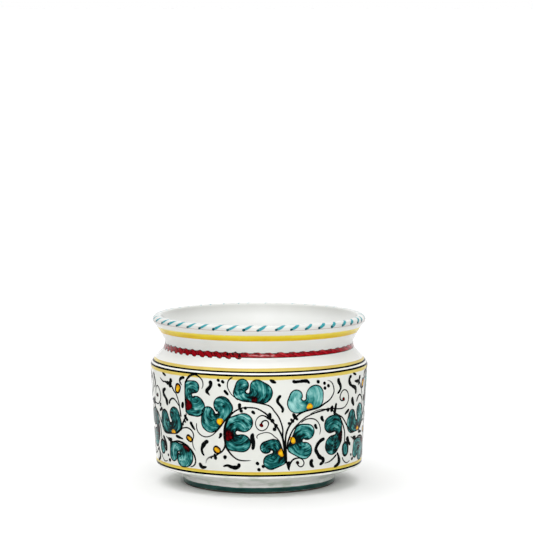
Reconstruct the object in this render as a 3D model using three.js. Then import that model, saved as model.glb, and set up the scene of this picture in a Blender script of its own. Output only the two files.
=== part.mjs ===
// A majolica cachepot: one wheel-thrown earthenware vessel, fired in one piece, with a flared
// mouth, a drawn-in neck, a sloping shoulder, a slightly tapered belly and a turned foot ring.
// Millimetres, +Z up. The origin is the centre of the face that the foot ring stands on.
import * as THREE from "three";

// Driving dimensions of the outside, from the table up
const FOOT_RADIUS = 84;
const FOOT_TOP_RADIUS = 85.5;
const FOOT_HEIGHT = 10.5;
const BELLY_FOOT_RADIUS = 114.2;
const BELLY_FOOT_HEIGHT = 22;
const SHOULDER_RADIUS = 120.4;
const SHOULDER_HEIGHT = 134;
const NECK_RADIUS = 101.6; // where the lines of shoulder and flare would meet, inside the neck's curve
const NECK_HEIGHT = 154.8;
const KNEE_RADIUS = 112.6;
const KNEE_HEIGHT = 174;
const LIP_RADIUS = 117.6;
const LIP_EDGE_HEIGHT = 180.2;
const HEIGHT = 187;

// Thicknesses of the clay
const WALL = 7.5;
const FLOOR = 9;
const LIP_THICKNESS = 8.5;
const FOOT_RING_WIDTH = 10;
const FOOT_RECESS = 4; // how far the underside is turned away inside the foot ring

// Radii of the thrown and sponged curves
const FOOT_EDGE_ROUND = 1.5;
const FOOT_COVE = 4;
const RECESS_COVE = 2;
const BELLY_FOOT_ROUND = 2.5;
const SHOULDER_ROUND = 5;
const NECK_COVE = 11.5;
const KNEE_COVE = 14;
const LIP_EDGE_ROUND = 0.8;
const LIP_ROUND = 5;
const LIP_INNER_ROUND = 3;
const INNER_SHOULDER_ROUND = 9;
const INNER_FOOT_ROUND = 16;
const WELL_CORNER_ROUND = 14;

// How finely the curves are stepped
const TURN_STEPS = 72; // round the vessel
const ARC_STEP = THREE.MathUtils.degToRad(18); // along a fillet of the profile

// One corner of the profile: its radius from the axis, its height and its fillet.
const corner = (radius, height, fillet = 0) => ({ at: new THREE.Vector2(radius, height), fillet });

// The point where two walls meet once each is moved inwards by its thickness. The outside runs
// upwards here, so inwards is to the left of the direction of travel.
function insideCorner(before, here, after, thickness) {
  const into = here.clone().sub(before).normalize();
  const out = after.clone().sub(here).normalize();
  const left = (v) => new THREE.Vector2(-v.y, v.x);
  const mitre = left(into).add(left(out)).normalize();
  return here.clone().addScaledVector(mitre, thickness / mitre.dot(left(into)));
}

// The point of the line from a to b that lies at the given height.
function atHeight(a, b, height) {
  return a.clone().lerp(b, (height - a.y) / (b.y - a.y));
}

// The profile's points, with each corner turned into an arc that touches both of its sides.
function roundedProfile(corners) {
  const points = [];
  corners.forEach(({ at, fillet }, i) => {
    if (fillet === 0) {
      points.push(at.clone());
      return;
    }
    const back = corners[i - 1].at.clone().sub(at).normalize();
    const on = corners[i + 1].at.clone().sub(at).normalize();
    const half = back.angleTo(on) / 2;
    const centre = back
      .clone()
      .add(on)
      .normalize()
      .multiplyScalar(fillet / Math.sin(half))
      .add(at);
    const reach = fillet / Math.tan(half);
    const first = at.clone().addScaledVector(back, reach).sub(centre);
    const sweep = Math.PI - 2 * half;
    const side = Math.sign(back.cross(on));
    const steps = Math.max(1, Math.ceil(sweep / ARC_STEP));
    for (let k = 0; k <= steps; k++) {
      const spoke = first.clone().rotateAround(new THREE.Vector2(), (-side * sweep * k) / steps);
      points.push(spoke.add(centre));
    }
  });
  return points;
}

// The outside corners, as bare points, from the foot ring to the lip
const footTop = new THREE.Vector2(FOOT_TOP_RADIUS, FOOT_HEIGHT);
const bellyFoot = new THREE.Vector2(BELLY_FOOT_RADIUS, BELLY_FOOT_HEIGHT);
const shoulder = new THREE.Vector2(SHOULDER_RADIUS, SHOULDER_HEIGHT);
const neck = new THREE.Vector2(NECK_RADIUS, NECK_HEIGHT);
const knee = new THREE.Vector2(KNEE_RADIUS, KNEE_HEIGHT);
const lipEdge = new THREE.Vector2(LIP_RADIUS, LIP_EDGE_HEIGHT);

// The inside follows the outside at the wall's thickness
const innerShoulder = insideCorner(bellyFoot, shoulder, neck, WALL);
const innerNeck = insideCorner(shoulder, neck, knee, WALL);
const innerBellyFoot = insideCorner(footTop, bellyFoot, shoulder, WALL);
const innerFootTop = insideCorner(new THREE.Vector2(0, FOOT_HEIGHT), footTop, bellyFoot, WALL);
const wellFloorHeight = FOOT_RECESS + FLOOR;
const wellCorner = atHeight(innerFootTop, innerBellyFoot, wellFloorHeight);
const ringInnerRadius = FOOT_RADIUS - FOOT_RING_WIDTH;

function vesselProfile() {
  return roundedProfile([
    corner(0, FOOT_RECESS),
    corner(ringInnerRadius, FOOT_RECESS, RECESS_COVE),
    corner(ringInnerRadius, 0, FOOT_EDGE_ROUND),
    corner(FOOT_RADIUS, 0, FOOT_EDGE_ROUND),
    corner(footTop.x, footTop.y, FOOT_COVE),
    corner(bellyFoot.x, bellyFoot.y, BELLY_FOOT_ROUND),
    corner(shoulder.x, shoulder.y, SHOULDER_ROUND),
    corner(neck.x, neck.y, NECK_COVE),
    corner(knee.x, knee.y, KNEE_COVE),
    corner(lipEdge.x, lipEdge.y, LIP_EDGE_ROUND),
    corner(lipEdge.x, HEIGHT, LIP_ROUND),
    corner(lipEdge.x - LIP_THICKNESS, HEIGHT, LIP_INNER_ROUND),
    corner(innerNeck.x, innerNeck.y, NECK_COVE + WALL),
    corner(innerShoulder.x, innerShoulder.y, INNER_SHOULDER_ROUND),
    corner(innerBellyFoot.x, innerBellyFoot.y, INNER_FOOT_ROUND),
    corner(wellCorner.x, wellCorner.y, WELL_CORNER_ROUND),
    corner(0, wellFloorHeight),
  ]);
}

// A profile of (radius, height) points turned about +Z. A lathe turns about +Y, so it is stood up.
function turned(profile) {
  return new THREE.LatheGeometry(profile, TURN_STEPS).rotateX(Math.PI / 2);
}

const tinGlaze = new THREE.MeshStandardMaterial({
  color: new THREE.Color(0.86, 0.86, 0.83),
  roughness: 0.16,
  metalness: 0,
});

const potBody = new THREE.Mesh(turned(vesselProfile()), tinGlaze);
potBody.name = "pot_body";

const cachepot = new THREE.Group();
cachepot.add(potBody);

export default cachepot;
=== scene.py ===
"""A painted cachepot in a plain studio.

The vessel is turned from its profile. Everything painted on it is laid as thin films of glaze
paint: banded rings, a rope border, strokes over the lip and a frieze of curled leaves on scrolling
stems. Paint is drawn flat first, in millimetres: x runs round the pot from the front, to the
right, and y up it. The flat drawing is then wrapped onto the vessel's skin.
"""
import bisect
import math
import random

import bmesh
import bpy
from mathutils import Matrix, Vector, kdtree, noise


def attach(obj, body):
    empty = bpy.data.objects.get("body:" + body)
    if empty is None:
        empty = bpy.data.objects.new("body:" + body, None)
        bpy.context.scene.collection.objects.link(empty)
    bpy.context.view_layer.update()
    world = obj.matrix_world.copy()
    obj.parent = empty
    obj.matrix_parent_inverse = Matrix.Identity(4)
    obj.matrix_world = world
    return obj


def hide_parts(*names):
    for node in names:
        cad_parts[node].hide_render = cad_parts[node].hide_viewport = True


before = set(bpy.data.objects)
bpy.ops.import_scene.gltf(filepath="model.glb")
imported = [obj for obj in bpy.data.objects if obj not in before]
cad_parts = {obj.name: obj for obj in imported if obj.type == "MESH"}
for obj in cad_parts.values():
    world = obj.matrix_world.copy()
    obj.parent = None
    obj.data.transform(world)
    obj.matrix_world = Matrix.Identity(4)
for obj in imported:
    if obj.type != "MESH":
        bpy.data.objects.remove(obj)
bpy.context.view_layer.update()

MM = 0.001
HAND = random.Random(24)  # the painter's unsteady hand

# The vessel, in millimetres
FOOT_RADIUS = 84
FOOT_TOP = Vector((85.5, 10.5))
BELLY_FOOT = Vector((114.2, 22))
SHOULDER = Vector((120.4, 134))
NECK = Vector((101.6, 154.8))  # where the lines of shoulder and flare would meet
KNEE = Vector((112.6, 174))
LIP_RADIUS = 117.6
LIP_EDGE_HEIGHT = 180.2
HEIGHT = 187
WALL = 7.5
FLOOR = 9
LIP_THICKNESS = 8.5
FOOT_RING_WIDTH = 10
FOOT_RECESS = 4
CLAY_EDGE = 1.6  # height of the wiped, unglazed edge of the foot

# Radii of its thrown and sponged curves
RECESS_COVE = 2
FOOT_EDGE_ROUND = 1.5
FOOT_COVE = 4
BELLY_FOOT_ROUND = 2.5
SHOULDER_ROUND = 5
NECK_COVE = 11.5
KNEE_COVE = 14
LIP_EDGE_ROUND = 0.8
LIP_ROUND = 5
LIP_INNER_ROUND = 3
INNER_SHOULDER_ROUND = 9
INNER_FOOT_ROUND = 16
WELL_CORNER_ROUND = 14

# Steps round the vessel, and the sectors that they are turned in
TURNS = 240
SECTORS = 24

# The painter's flat drawing is unrolled from the belly at half its height
BELLY_RADIUS = (BELLY_FOOT.x + SHOULDER.x) / 2
FULL_TURN = 2 * math.pi * BELLY_RADIUS
REPEATS = 3  # the frieze is painted three times round the belly
REPEAT = FULL_TURN / REPEATS

LOADED = 1.65  # how much wider a loaded brush marks than the width drawn with it
BROAD = 1.03  # how much more the broad brush of the dashes gives

# How far the films stand proud of the glaze, and how deep their undersides are sunk in it
BANDED = 0.03
WASH = 0.05
OVER_WASH = 0.09
OUTLINE = 0.13
SUNK = 0.14
CROWN = 0.03  # how much more a stroke stands proud along its middle


# The profile and its skin


def left_of(way):
    return Vector((-way.y, way.x))


def inside_corner(before, here, after, thickness):
    """Where two walls meet once each is moved inwards by its thickness."""
    into, out = (here - before).normalized(), (after - here).normalized()
    mitre = (left_of(into) + left_of(out)).normalized()
    return here + mitre * thickness / mitre.dot(left_of(into))


def at_height(a, b, height):
    return a.lerp(b, (height - a.y) / (b.y - a.y))


def rounded(corners, arc_step=math.radians(5), longest=3.5):
    """The line through (corner, fillet) pairs, each fillet an arc that touches both sides."""
    line = []
    for i, (at, fillet) in enumerate(corners):
        if fillet == 0:
            line.append(at.copy())
            continue
        back = (corners[i - 1][0] - at).normalized()
        on = (corners[i + 1][0] - at).normalized()
        half = back.angle(on) / 2
        centre = at + (back + on).normalized() * fillet / math.sin(half)
        first = at + back * fillet / math.tan(half) - centre
        sweep = math.pi - 2 * half
        side = math.copysign(1, back.x * on.y - back.y * on.x)
        steps = max(2, math.ceil(sweep / arc_step))
        for k in range(steps + 1):
            line.append(centre + Matrix.Rotation(-side * sweep * k / steps, 2) @ first)
    fine = [line[0]]
    for end in line[1:]:
        start = fine[-1]
        pieces = math.ceil((end - start).length / longest)
        fine += [start.lerp(end, (k + 1) / pieces) for k in range(pieces)]
    return fine


class Skin:
    """The outside of the vessel, from the foot's edge up and over the lip, for paint to lie on.

    A place on it is (x, y, lift): x round the pot, y the height in millimetres, and above
    steep_until, where the wall turns over, the way along the wall instead of the height."""

    def __init__(self, line, steep_until):
        self.line = line
        self.ups = []
        for i, point in enumerate(line):
            if i == 0 or point.y <= steep_until:
                self.ups.append(point.y)
            else:
                self.ups.append(self.ups[-1] + (point - line[i - 1]).length)

    def section(self, up, lift):
        i = min(max(bisect.bisect_left(self.ups, up), 1), len(self.ups) - 1)
        a, b = self.line[i - 1], self.line[i]
        t = (up - self.ups[i - 1]) / (self.ups[i] - self.ups[i - 1])
        return a.lerp(b, t) - left_of((b - a).normalized()) * lift

    def place(self, flat):
        """The point in the room, in metres, for a point of the flat drawing."""
        turn = flat.x / BELLY_RADIUS
        at = self.section(flat.y, flat.z)
        return Vector((at.x * math.sin(turn), -at.x * math.cos(turn), at.y)) * MM


RING_INSIDE = FOOT_RADIUS - FOOT_RING_WIDTH
WELL_FLOOR = FOOT_RECESS + FLOOR
INNER_NECK = inside_corner(SHOULDER, NECK, KNEE, WALL)
INNER_SHOULDER = inside_corner(BELLY_FOOT, SHOULDER, NECK, WALL)
INNER_BELLY_FOOT = inside_corner(FOOT_TOP, BELLY_FOOT, SHOULDER, WALL)
INNER_FOOT_TOP = inside_corner(Vector((0, FOOT_TOP.y)), FOOT_TOP, BELLY_FOOT, WALL)
WELL_CORNER = at_height(INNER_FOOT_TOP, INNER_BELLY_FOOT, WELL_FLOOR)

PROFILE = rounded([
    (Vector((0, FOOT_RECESS)), 0),
    (Vector((RING_INSIDE, FOOT_RECESS)), RECESS_COVE),
    (Vector((RING_INSIDE, 0)), FOOT_EDGE_ROUND),
    (Vector((FOOT_RADIUS, 0)), FOOT_EDGE_ROUND),
    (FOOT_TOP, FOOT_COVE),
    (BELLY_FOOT, BELLY_FOOT_ROUND),
    (SHOULDER, SHOULDER_ROUND),
    (NECK, NECK_COVE),
    (KNEE, KNEE_COVE),
    (Vector((LIP_RADIUS, LIP_EDGE_HEIGHT)), LIP_EDGE_ROUND),
    (Vector((LIP_RADIUS, HEIGHT)), LIP_ROUND),
    (Vector((LIP_RADIUS - LIP_THICKNESS, HEIGHT)), LIP_INNER_ROUND),
    (INNER_NECK, NECK_COVE + WALL),
    (INNER_SHOULDER, INNER_SHOULDER_ROUND),
    (INNER_BELLY_FOOT, INNER_FOOT_ROUND),
    (WELL_CORNER, WELL_CORNER_ROUND),
    (Vector((0, WELL_FLOOR)), 0),
])
FOOT_EDGE = next(i for i, p in enumerate(PROFILE) if p.x >= FOOT_RADIUS - 0.01)
LIP_TOP = next(i for i, p in enumerate(PROFILE) if i > FOOT_EDGE and p.y >= HEIGHT - 0.01)
LIP_INSIDE = LIP_TOP + 14  # where the skin ends, past the lip's top
SKIN = Skin(PROFILE[FOOT_EDGE:LIP_INSIDE], steep_until=LIP_EDGE_HEIGHT + 1.8)


# Brush strokes, washes and rings


def curve(points):
    """A smooth line through the points, sampled about every millimetre."""
    dots = [Vector(p) for p in points]
    ends = [2 * dots[0] - dots[1]] + dots + [2 * dots[-1] - dots[-2]]
    path = []
    for before, a, b, after in zip(ends, ends[1:], ends[2:], ends[3:]):
        steps = max(1, math.ceil((b - a).length))
        for k in range(steps):
            t = k / steps
            bend = 2 * before - 5 * a + 4 * b - after
            twist = 3 * a - before - 3 * b + after
            path.append(0.5 * (2 * a + (b - before) * t + bend * t**2 + twist * t**3))
    return path + [dots[-1]]


def share(row, t):
    """What stands at the share t of an evenly spaced row of numbers or points."""
    at = t * (len(row) - 1)
    i = max(0, min(int(at), len(row) - 2))
    return row[i] + (row[min(i + 1, len(row) - 1)] - row[i]) * (at - i)


def belt(coins, step=1.1):
    """The outline of a belt laid round coins (x, y, radius) in turn, anticlockwise.

    Past a coin with a negative radius the belt runs on the other side, which makes a notch."""
    normals = []
    for (x1, y1, r1), (x2, y2, r2) in zip(coins, coins[1:] + coins[:1]):
        gap = Vector((x2 - x1, y2 - y1))
        lean = max(-1.0, min(1.0, (r2 - r1) / gap.length))
        way = gap.normalized()
        normals.append(way * lean + left_of(way) * math.sqrt(1 - lean * lean))
    outline = []
    for i, (x, y, radius) in enumerate(coins):
        first, last = normals[i - 1], normals[i]
        start = math.atan2(first.y, first.x)
        sweep = (math.atan2(last.y, last.x) - start) % math.tau
        if radius < 0:
            sweep -= math.tau
        if abs(sweep) > math.radians(350):  # a straight run past the coin
            sweep = 0
        steps = max(1, math.ceil(abs(sweep * radius) / step))
        for k in range(steps + 1):
            angle = start + sweep * k / steps
            outline.append(Vector((x - radius * math.cos(angle), y - radius * math.sin(angle))))
    return outline


def from_line(point, a, b):
    """How far a point is from the stretch between a and b."""
    way = b - a
    t = max(0.0, min(1.0, (point - a).dot(way) / max(way.length_squared, 1e-9)))
    return (point - a - way * t).length


def measure_to(outline):
    """A function that tells how far a flat point is from a closed outline."""
    tree = kdtree.KDTree(len(outline))
    for i, p in enumerate(outline):
        tree.insert(p.to_3d(), i)
    tree.balance()

    def from_outline(point):
        near = tree.find(point.to_3d())[1]
        return min(
            from_line(point, outline[near - 1], outline[near]),
            from_line(point, outline[near], outline[(near + 1) % len(outline)]),
        )

    return from_outline


def unsteady(along, row):
    """A smooth wavering between about -1 and 1; each row wavers in its own way."""
    return noise.noise(Vector((along, row, 0)))


class Drawing:
    """The films of one paint, drawn flat. Each vertex carries marks of what its paint does there:

    ink: how much of it the brush left
    edge: 0 in the middle of a stroke, wash or ring, and 1 at its edge
    rim: how far in from a wash's outline it is, in millimetres
    out, sweep: how far it is out from a leaf's notch and round it, or along a ring
    fold: how much it pooled in a leaf, or how far it is from a ring's heavy edge
    depth: how dark it is, or how soft in a ring"""

    MARKS = ("ink", "edge", "rim", "out", "sweep", "fold", "depth")

    QUAD = 2.5  # a stroke's quads are this long, divided by how finely it is made
    PRESS_LENGTH = 4  # over what length of a stroke its pressure changes
    WANDER, WANDER_LENGTH = 0.12, 9  # how far a stroke wanders aside, and over what length
    TIP = 0.35  # how wide its very tip is, as a share of its width
    WASH_RIM = 1.4  # how wide the edge of a wash is
    CREASE_POOL = 3.4  # how far a leaf's wash pooled from the line between its notch and eye
    EYE_POOL = 7  # and how far from the eye

    def __init__(self):
        self.films = []

    def begin(self):
        self.bm = bmesh.new()
        self.mark = {name: self.bm.verts.layers.float.new(name) for name in self.MARKS}

    def keep(self):
        """Puts the film that is being drawn away with the finished ones."""
        self.films.append(bpy.data.meshes.new("film"))
        self.bm.to_mesh(self.films[-1])
        self.bm.free()

    def note(self, vert, **marks):
        for name, value in marks.items():
            vert[self.mark[name]] = value

    def two_sided(self):
        """Gives the sheet an underside, and returns each vertex with whether it is on top."""
        bmesh.ops.solidify(self.bm, geom=list(self.bm.faces), thickness=1.0)
        middle = sum(v.co.z for v in self.bm.verts) / len(self.bm.verts)
        return [(v, v.co.z > middle) for v in self.bm.verts]

    def brush(
        self, points, widths, lift=OUTLINE, ink=1.0, start=1.0, end=1.0, depth=0.0, press=0.13,
        fine=2,
    ):
        """One stroke of the brush along the points, as wide as the row of widths says.

        start and end are the shares of the ink left at the stroke's two ends, and press is how
        unevenly the brush was pressed. The film is fine quads wide, more than two only where the
        wall under it curves tightly."""
        path = curve(points)
        length = sum((b - a).length for a, b in zip(path, path[1:]))
        steps = max(4, math.ceil(length / (self.QUAD / fine)))
        self.begin()
        bmesh.ops.create_grid(self.bm, x_segments=steps, y_segments=fine, size=1.0)
        seed = HAND.uniform(0, 90)
        reach = 0.6 / max(length, 1.0)  # how far on each side the brush's way is taken from
        for v, top in self.two_sided():
            t, across = (v.co.x + 1) / 2, v.co.y
            behind, ahead = share(path, max(0.0, t - reach)), share(path, min(1.0, t + reach))
            width = share(widths, t) * LOADED
            tip = min(t, 1 - t) * length / max(0.2, width * 0.5)
            width *= math.sqrt(1 - (1 - min(1.0, tip)) ** 2) if tip > 0.15 else self.TIP
            width *= 1 + press * unsteady(t * length / self.PRESS_LENGTH, seed)
            wander = self.WANDER * unsteady(t * length / self.WANDER_LENGTH, seed + 40)
            aside = left_of((ahead - behind).normalized()) * (across * width / 2 + wander)
            flat = share(path, t) + aside
            crown = CROWN * (1 - across * across) * min(1.0, width)
            v.co = Vector((flat.x, flat.y, lift + crown if top else -SUNK))
            left = ink * share([start, 1, 1, 1, 1, 1, 1, end], t)
            self.note(v, ink=left, edge=abs(across), depth=depth)
        self.keep()

    def filled(self, outline, cell):
        """A sheet inside the outline, cut into cells so that it can bend and carry marks."""
        ring = [self.bm.verts.new((p.x, p.y, 0)) for p in outline]
        sides = [self.bm.edges.new(pair) for pair in zip(ring, ring[1:] + ring[:1])]
        bmesh.ops.contextual_create(self.bm, geom=ring + sides)
        for way in (Vector((1, 0, 0)), Vector((0, 1, 0))):
            reach = [way.xy.dot(p) for p in outline]
            low, high = min(reach), max(reach)
            cuts = math.ceil((high - low) / cell)
            for k in range(1, cuts):
                bmesh.ops.bisect_plane(
                    self.bm, geom=[*self.bm.verts, *self.bm.edges, *self.bm.faces], dist=1e-5,
                    plane_co=way * (low + (high - low) * k / cuts), plane_no=way,
                )

    def wash(self, coins, lift=WASH, pool=None, depth=0.0, cell=1.6):
        """A patch of colour inside the belt round the coins.

        In a leaf the wash has pooled from its notch to its eye, and was brushed in arcs round the
        notch: pool is the notch, the eye's middle and the middle of the leaf's stem side."""
        outline = belt(coins)
        from_outline = measure_to(outline)
        self.begin()
        self.filled(outline, cell)
        seed = HAND.uniform(0, 90)
        if pool:
            notch, eye, stem = pool
            stemward = math.atan2(stem.y - notch.y, stem.x - notch.x)
        for v, top in self.two_sided():
            here = v.co.xy
            rim = from_outline(here)
            edge = max(0.0, 1 - rim / self.WASH_RIM)
            self.note(v, ink=1.0, rim=rim, out=rim, edge=edge, depth=depth, sweep=seed)
            if pool:
                bearing = math.atan2(here.y - notch.y, here.x - notch.x) - stemward
                bearing = (bearing + math.pi) % math.tau - math.pi
                in_crease = math.exp(-((from_line(here, notch, eye) / self.CREASE_POOL) ** 2))
                at_eye = math.exp(-(((here - eye).length / self.EYE_POOL) ** 2))
                self.note(
                    v, fold=max(in_crease * 0.8, at_eye), out=(here - notch).length,
                    sweep=seed + bearing * 3,
                )
            v.co.z = lift if top else -SUNK
        self.keep()

    def ring(
        self, heavy, light, lift=WASH, ragged=0.25, steps=3, ink=1.0, soft_heavy=0.0,
        soft_light=0.0, tilt=0.0,
    ):
        """A band painted all the way round on the wheel, a little uneven at its edges.

        heavy is the height of the edge that the paint ran to, and light that of the other. With a
        tilt the band runs a little lower at the back, where the pot stood off the wheel's
        centre."""
        self.begin()
        shares = [k / steps for k in range(steps + 1)]
        loop = []
        for t, top in [(t, 1) for t in shares] + [(t, 0) for t in reversed(shares)]:
            v = self.bm.verts.new((1 + top, 0, t))
            self.note(v, fold=t, rim=top)  # in a ring, rim only tells the top
            loop.append(v)
        sides = [self.bm.edges.new(pair) for pair in zip(loop, loop[1:] + loop[:1])]
        turn_round(self.bm, loop + sides, same=1e-4)
        seed = HAND.uniform(0, 90)
        for v in self.bm.verts:
            turn = math.atan2(v.co.y, v.co.x)
            t, top = v[self.mark["fold"]], v[self.mark["rim"]] > 0.5
            at_edge = abs(2 * t - 1)
            where = Vector((math.cos(turn), math.sin(turn), 0))
            # The whole band wanders slowly, and its edges quiver
            slow = noise.noise(where * 2 + Vector((0, 0, seed))) * 1.4
            quick = noise.noise(where * 16 + Vector((0, 0, seed + t * 9))) * 0.7 * at_edge
            height = heavy + (light - heavy) * t + ragged * (slow + quick) + tilt * (where.x - 1)
            v.co = Vector((turn * BELLY_RADIUS, height, lift if top else -SUNK))
            soft = max(soft_heavy * (1 - t), soft_light * t)
            self.note(v, ink=ink, edge=at_edge, depth=soft, fold=t, sweep=turn * BELLY_RADIUS)
        self.keep()

    def wrapped(self):
        """All the films laid on the vessel's skin, each with its faces outwards, as one mesh."""
        bm = bmesh.new()
        for film in self.films:
            laid = bmesh.new()
            laid.from_mesh(film)
            for v in laid.verts:
                v.co = SKIN.place(v.co)
            bmesh.ops.recalc_face_normals(laid, faces=laid.faces)
            if laid.calc_volume(signed=True) < 0:
                bmesh.ops.reverse_faces(laid, faces=laid.faces)
            laid.to_mesh(film)
            laid.free()
            bm.from_mesh(film)
            bpy.data.meshes.remove(film)
        return bm


def turn_round(bm, section, same=1e-6):
    """Turns a section about the pot's axis: a small sector first, then that all the way round."""
    sector = math.tau / SECTORS
    bmesh.ops.spin(
        bm, geom=section, axis=(0, 0, 1), cent=(0, 0, 0), angle=sector, steps=TURNS // SECTORS,
        use_merge=False,
    )
    bmesh.ops.spin(
        bm, geom=[*bm.verts, *bm.edges, *bm.faces], axis=(0, 0, 1), cent=(0, 0, 0),
        angle=math.tau - sector, steps=SECTORS - 1, use_duplicate=True,
    )
    bmesh.ops.remove_doubles(bm, verts=bm.verts, dist=same)


def as_object(name, bm, material):
    """The mesh as an object at the origin, in its material."""
    mesh = bpy.data.meshes.new(name)
    bm.to_mesh(mesh)
    bm.free()
    mesh.materials.append(material)
    made = bpy.data.objects.new(name, mesh)
    bpy.context.scene.collection.objects.link(made)
    return made


def finished(name, bm, material, replaced=()):
    """Makes a mesh a piece of the part, smooth apart from its sharp edges."""
    for edge in bm.edges:
        if len(edge.link_faces) == 2 and edge.calc_face_angle() > math.radians(35):
            edge.smooth = False
    for face in bm.faces:
        face.smooth = True
    piece = as_object(name, bm, material)
    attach(piece, "root")
    if replaced:
        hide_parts(*replaced)


def turned_vessel():
    """The glazed body, marked as plain inside the mouth and under the foot."""
    bm = bmesh.new()
    plain = bm.verts.layers.float.new("plain")
    line = [bm.verts.new((p.x * MM, 0, p.y * MM)) for p in PROFILE]
    for i, v in enumerate(line):
        v[plain] = 0.0 if FOOT_EDGE <= i <= LIP_INSIDE else 1.0
    turn_round(bm, line + [bm.edges.new(pair) for pair in zip(line, line[1:])])
    bmesh.ops.recalc_face_normals(bm, faces=bm.faces)
    return bm


# Glazes and paints

# Where the white glaze changes its colour, and with it its painted light and shade, each from one
# height to another, in metres
SHOULDER_TO_FLARE = (0.1505, 0.1535)
SHOULDER_TO_FRIEZE = (0.1345, 0.1275)
FRIEZE_TO_SLOPE = (0.031, 0.024)
LIP_TO_WELL = (0.186, 0.172)

GLAZE_RELIEF = 0.00004  # how far the glaze's waviness stands up, in metres
STREAK_HEIGHT = 0.0011  # of the streaks in a banded paint, in metres
STREAK_LENGTH = 50  # in the flat drawing's millimetres


def srgb(red, green, blue):
    """A colour as the eye reads it, 0 to 255, as the linear colour that a shader takes."""
    shares = (red / 255, green / 255, blue / 255)
    return (*(c / 12.92 if c <= 0.04045 else ((c + 0.055) / 1.055) ** 2.4 for c in shares), 1)


class Wire:
    """A socket of a finish. Arithmetic on wires adds the Math nodes that work it out."""

    def __init__(self, finish, socket):
        self.finish, self.socket = finish, socket

    def math(self, operation, *values):
        return self.finish.add("ShaderNodeMath", {"operation": operation}, dict(enumerate(values)))

    def __add__(self, other):
        return self.math("ADD", self, other)

    def __sub__(self, other):
        return self.math("SUBTRACT", self, other)

    def __rsub__(self, other):
        return self.math("SUBTRACT", other, self)

    def __mul__(self, other):
        return self.math("MULTIPLY", self, other)

    __radd__, __rmul__ = __add__, __mul__

    def absolute(self):
        return self.math("ABSOLUTE", self)

    def step(self, low, high):
        """0 below low, 1 above high and smooth between; falls instead where low is above high."""
        settings = {"interpolation_type": "SMOOTHSTEP"}
        if low < high:
            return self.finish.add("ShaderNodeMapRange", settings, {0: self, 1: low, 2: high})
        return 1 - self.finish.add("ShaderNodeMapRange", settings, {0: self, 1: high, 2: low})


class Finish:
    """The nodes of a material, or of the studio's light. Each of them comes from add()."""

    def __init__(self, name, kept_in=bpy.data.materials):
        self.owner = kept_in.new(name)
        self.owner.use_nodes = True
        self.tree = self.owner.node_tree
        self.tree.nodes.clear()
        self.coords = self.add("ShaderNodeTexCoord", out=3)

    def add(self, kind, settings=None, sockets=None, out=0):
        node = self.tree.nodes.new(kind)
        for name, value in (settings or {}).items():
            if name == "stops":
                ramp = node.color_ramp
                while len(ramp.elements) < len(value):
                    ramp.elements.new(0.5)
                for element, (at, colour) in zip(ramp.elements, value):
                    element.position, element.color = at, colour
            else:
                setattr(node, name, value)
        for name, value in (sockets or {}).items():
            if isinstance(value, Wire):
                self.tree.links.new(value.socket, node.inputs[name])
            else:
                node.inputs[name].default_value = value
        return Wire(self, node.outputs[out]) if len(node.outputs) else None

    def mark(self, name):
        return self.add("ShaderNodeAttribute", {"attribute_name": name}, out=2)

    def split(self, place):
        """The x, y and z of a place."""
        node = self.add("ShaderNodeSeparateXYZ", sockets={0: place}).socket.node
        return [Wire(self, socket) for socket in node.outputs]

    def height(self):
        return self.split(self.coords)[2]

    def cloud(self, size, detail=2.0, where=None):
        """Noise, mostly between 0.3 and 0.7, with patches of the given size in metres."""
        sockets = {"Vector": where or self.coords, "Scale": 1 / size, "Detail": detail}
        return self.add("ShaderNodeTexNoise", sockets=sockets)

    def vector(self, x, y, z):
        return self.add("ShaderNodeCombineXYZ", sockets={0: x, 1: y, 2: z})

    def mix(self, share, a, b):
        return self.add("ShaderNodeMix", {"data_type": "RGBA"}, {0: share, 6: a, 7: b}, out=2)

    def ramp(self, value, *stops):
        return self.add("ShaderNodeValToRGB", {"stops": stops}, {0: value})

    def surface(self, colour, rough, gloss=0.5, bump=None):
        """Ends the finish in a surface; gloss is how strongly it mirrors what is around it."""
        sockets = {"Base Color": colour, "Roughness": rough, "Specular IOR Level": gloss}
        if bump is not None:
            relief = {"Strength": 1.0, "Distance": GLAZE_RELIEF, "Height": bump}
            sockets["Normal"] = self.add("ShaderNodeBump", sockets=relief)
        shader = self.add("ShaderNodeBsdfPrincipled", sockets=sockets)
        return self.end_in("ShaderNodeOutputMaterial", shader)

    def under_gloss(self, colour, rough=0.1, gloss=0.5):
        """Ends the finish in a paint that lies under the clear glaze."""
        return self.surface(colour, self.cloud(0.02) * 0.08 + rough, gloss, glaze_bump(self))

    def end_in(self, kind, shader):
        self.add(kind, sockets={"Surface": shader})
        return self.owner


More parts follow.
